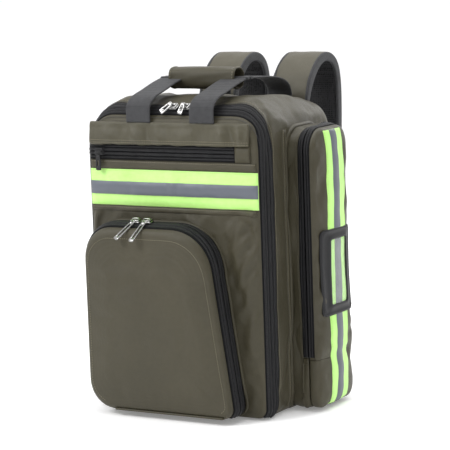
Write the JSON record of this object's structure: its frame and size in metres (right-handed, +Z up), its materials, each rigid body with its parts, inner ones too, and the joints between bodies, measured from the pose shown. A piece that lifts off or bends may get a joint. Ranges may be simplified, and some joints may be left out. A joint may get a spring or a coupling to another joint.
{
  "type": "trauma backpack",
  "caption": "Clamshell rescue backpack with zipped lid, front pocket, side pockets, grab handles, reflective tapes and padded shoulder straps.",
  "frame": {"origin": "centre of the flat base of the body", "axes": "+Z up, -Y to the front panel, +Y to the wearer's back, +X to the right seen from the front"},
  "size_m": [0.375, 0.3997, 0.4769],
  "materials": {
    "shell_fabric": "coated nylon, olive drab, soft sheen",
    "lining_fabric": "thin woven lining",
    "mesh": "black spacer mesh",
    "zip_tape": "ribbed zip tape with coil",
    "webbing": "ribbed nylon webbing",
    "hivis_tape": "fluorescent woven tape with a retroreflective band",
    "stiffener": "plain sheet",
    "buckle": "moulded acetal",
    "window_film": "clear flexible film",
    "zip_metal": "bright nickel plate"
  },
  "bodies": {
    "bag": {"main_shell": "shell_fabric", "base_board": "stiffener", "frame_sheet": "stiffener", "padded_divider": "lining_fabric", "back_pad": "mesh", "strap_yoke": "shell_fabric", "main_zip_body_tape": "zip_tape", "right_pocket_wall": "shell_fabric", "left_pocket_wall": "shell_fabric", "right_zip_wall_tape": "zip_tape", "left_zip_wall_tape": "zip_tape", "right_lower_tape": "hivis_tape", "left_lower_tape": "hivis_tape", "right_lower_tab": "webbing", "left_lower_tab": "webbing"},
    "lid": {"lid_panel": "shell_fabric", "main_zip_lid_tape": "zip_tape", "top_flap": "shell_fabric", "top_pocket_zip": "zip_tape", "zip_end_tab": "shell_fabric", "front_tape": "hivis_tape", "top_pocket_lining": "lining_fabric", "lid_mesh_pocket": "mesh", "front_pocket_wall": "shell_fabric", "front_zip_wall_tape": "zip_tape"},
    "front_pocket_door": {"front_pocket_cover": "shell_fabric", "front_zip_cover_tape": "zip_tape"},
    "front_grab_handle": {"front_handle": "webbing", "grip_wrap": "shell_fabric"},
    "rear_grab_handle": {"rear_handle": "webbing"},
    "main_left_slider": {"main_slider_left": "zip_metal"},
    "main_left_pull": {"main_puller_left": "zip_metal"},
    "main_right_slider": {"main_slider_right": "zip_metal"},
    "main_right_pull": {"main_puller_right": "zip_metal"},
    "front_left_slider": {"front_slider_left": "zip_metal"},
    "front_left_pull": {"front_puller_left": "zip_metal"},
    "front_right_slider": {"front_slider_right": "zip_metal"},
    "front_right_pull": {"front_puller_right": "zip_metal"},
    "top_slider": {"top_pocket_slider": "zip_metal"},
    "top_pull": {"top_pocket_puller": "zip_metal"},
    "right_pocket_door": {"right_cover": "shell_fabric", "right_zip_cover_tape": "zip_tape", "right_cover_tape": "hivis_tape", "right_window_frame": "webbing", "right_window_film": "window_film"},
    "right_shoulder_strap": {"right_strap": "shell_fabric", "right_ladder_lock": "buckle", "right_strap_webbing": "webbing"},
    "right_pocket_slider": {"right_side_slider": "zip_metal"},
    "right_pocket_pull": {"right_side_puller": "zip_metal"},
    "left_pocket_door": {"left_cover": "shell_fabric", "left_zip_cover_tape": "zip_tape", "left_cover_tape": "hivis_tape", "left_window_frame": "webbing", "left_window_film": "window_film"},
    "left_shoulder_strap": {"left_strap": "shell_fabric", "left_ladder_lock": "buckle", "left_strap_webbing": "webbing"},
    "left_pocket_slider": {"left_side_slider": "zip_metal"},
    "left_pocket_pull": {"left_side_puller": "zip_metal"}
  },
  "joints": [
    {"name": "lid_hinge", "type": "hinge", "parent": "bag", "child": "lid", "pos_m": [0, -0.094, 0], "axis": [1, 0, 0], "range_deg": [0, 100]},
    {"name": "front_pocket_hinge", "type": "hinge", "parent": "lid", "child": "front_pocket_door", "pos_m": [0, -0.155, 0.008], "axis": [1, 0, 0], "range_deg": [0, 90]},
    {"name": "right_pocket_hinge", "type": "hinge", "parent": "bag", "child": "right_pocket_door", "pos_m": [0.185, 0.014, 0.073], "axis": [0, 1, 0], "range_deg": [0, 90]},
    {"name": "left_pocket_hinge", "type": "hinge", "parent": "bag", "child": "left_pocket_door", "pos_m": [-0.185, 0.014, 0.073], "axis": [0, -1, 0], "range_deg": [0, 90]},
    {"name": "front_handle_hinge", "type": "hinge", "parent": "lid", "child": "front_grab_handle", "pos_m": [0, -0.11135, 0.403], "axis": [1, 0, 0], "range_deg": [0, 120]},
    {"name": "rear_handle_hinge", "type": "hinge", "parent": "bag", "child": "rear_grab_handle", "pos_m": [0, 0.109, 0.412], "axis": [1, 0, 0], "range_deg": [-30, 0]},
    {"name": "right_strap_hinge", "type": "hinge", "parent": "bag", "child": "right_shoulder_strap", "pos_m": [0.059, 0.12, 0.395], "axis": [1, 0, 0], "range_deg": [-6, 20], "deforming": ["right_strap_webbing"]},
    {"name": "left_strap_hinge", "type": "hinge", "parent": "bag", "child": "left_shoulder_strap", "pos_m": [-0.059, 0.12, 0.395], "axis": [1, 0, 0], "range_deg": [-6, 20], "deforming": ["left_strap_webbing"]},
    {"name": "main_zip_left_slide", "type": "slide", "parent": "lid", "child": "main_left_slider", "axis": [1, 0, 0], "range_m": [-0.07, 0]},
    {"name": "main_pull_left_hinge", "type": "hinge", "parent": "main_left_slider", "child": "main_left_pull", "pos_m": [-0.004, -0.1008, 0.4269], "axis": [1, 0, 0], "range_deg": [-150, 0]},
    {"name": "main_zip_right_slide", "type": "slide", "parent": "lid", "child": "main_right_slider", "axis": [1, 0, 0], "range_m": [0, 0.07]},
    {"name": "main_pull_right_hinge", "type": "hinge", "parent": "main_right_slider", "child": "main_right_pull", "pos_m": [0.016, -0.1008, 0.4269], "axis": [1, 0, 0], "range_deg": [-150, 0]},
    {"name": "front_zip_left_slide", "type": "slide", "parent": "front_pocket_door", "child": "front_left_slider", "axis": [1, 0, 0], "range_m": [-0.03, 0]},
    {"name": "front_pull_left_hinge", "type": "hinge", "parent": "front_left_slider", "child": "front_left_pull", "pos_m": [-0.0465, -0.1411, 0.2691], "axis": [1, 0, 0], "range_deg": [-150, 0]},
    {"name": "front_zip_right_slide", "type": "slide", "parent": "front_pocket_door", "child": "front_right_slider", "axis": [1, 0, 0], "range_m": [0, 0.035]},
    {"name": "front_pull_right_hinge", "type": "hinge", "parent": "front_right_slider", "child": "front_right_pull", "pos_m": [-0.0285, -0.1411, 0.2691], "axis": [1, 0, 0], "range_deg": [-150, 0]},
    {"name": "top_pocket_zip_slide", "type": "slide", "parent": "lid", "child": "top_slider", "axis": [1, 0, 0], "range_m": [0, 0.2]},
    {"name": "top_pull_hinge", "type": "hinge", "parent": "top_slider", "child": "top_pull", "pos_m": [-0.114, -0.1173, 0.354], "axis": [1, 0, 0], "range_deg": [-150, 0]},
    {"name": "right_pocket_zip_slide", "type": "slide", "parent": "right_pocket_door", "child": "right_pocket_slider", "axis": [0, 0, -1], "range_m": [0, 0.25]},
    {"name": "right_pull_hinge", "type": "hinge", "parent": "right_pocket_slider", "child": "right_pocket_pull", "pos_m": [0.163, 0.0754, 0.331], "axis": [1, 0, 0], "range_deg": [0, 150]},
    {"name": "left_pocket_zip_slide", "type": "slide", "parent": "left_pocket_door", "child": "left_pocket_slider", "axis": [0, 0, -1], "range_m": [0, 0.25]},
    {"name": "left_pull_hinge", "type": "hinge", "parent": "left_pocket_slider", "child": "left_pocket_pull", "pos_m": [-0.163, 0.0754, 0.331], "axis": [1, 0, 0], "range_deg": [0, 150]}
  ]
}
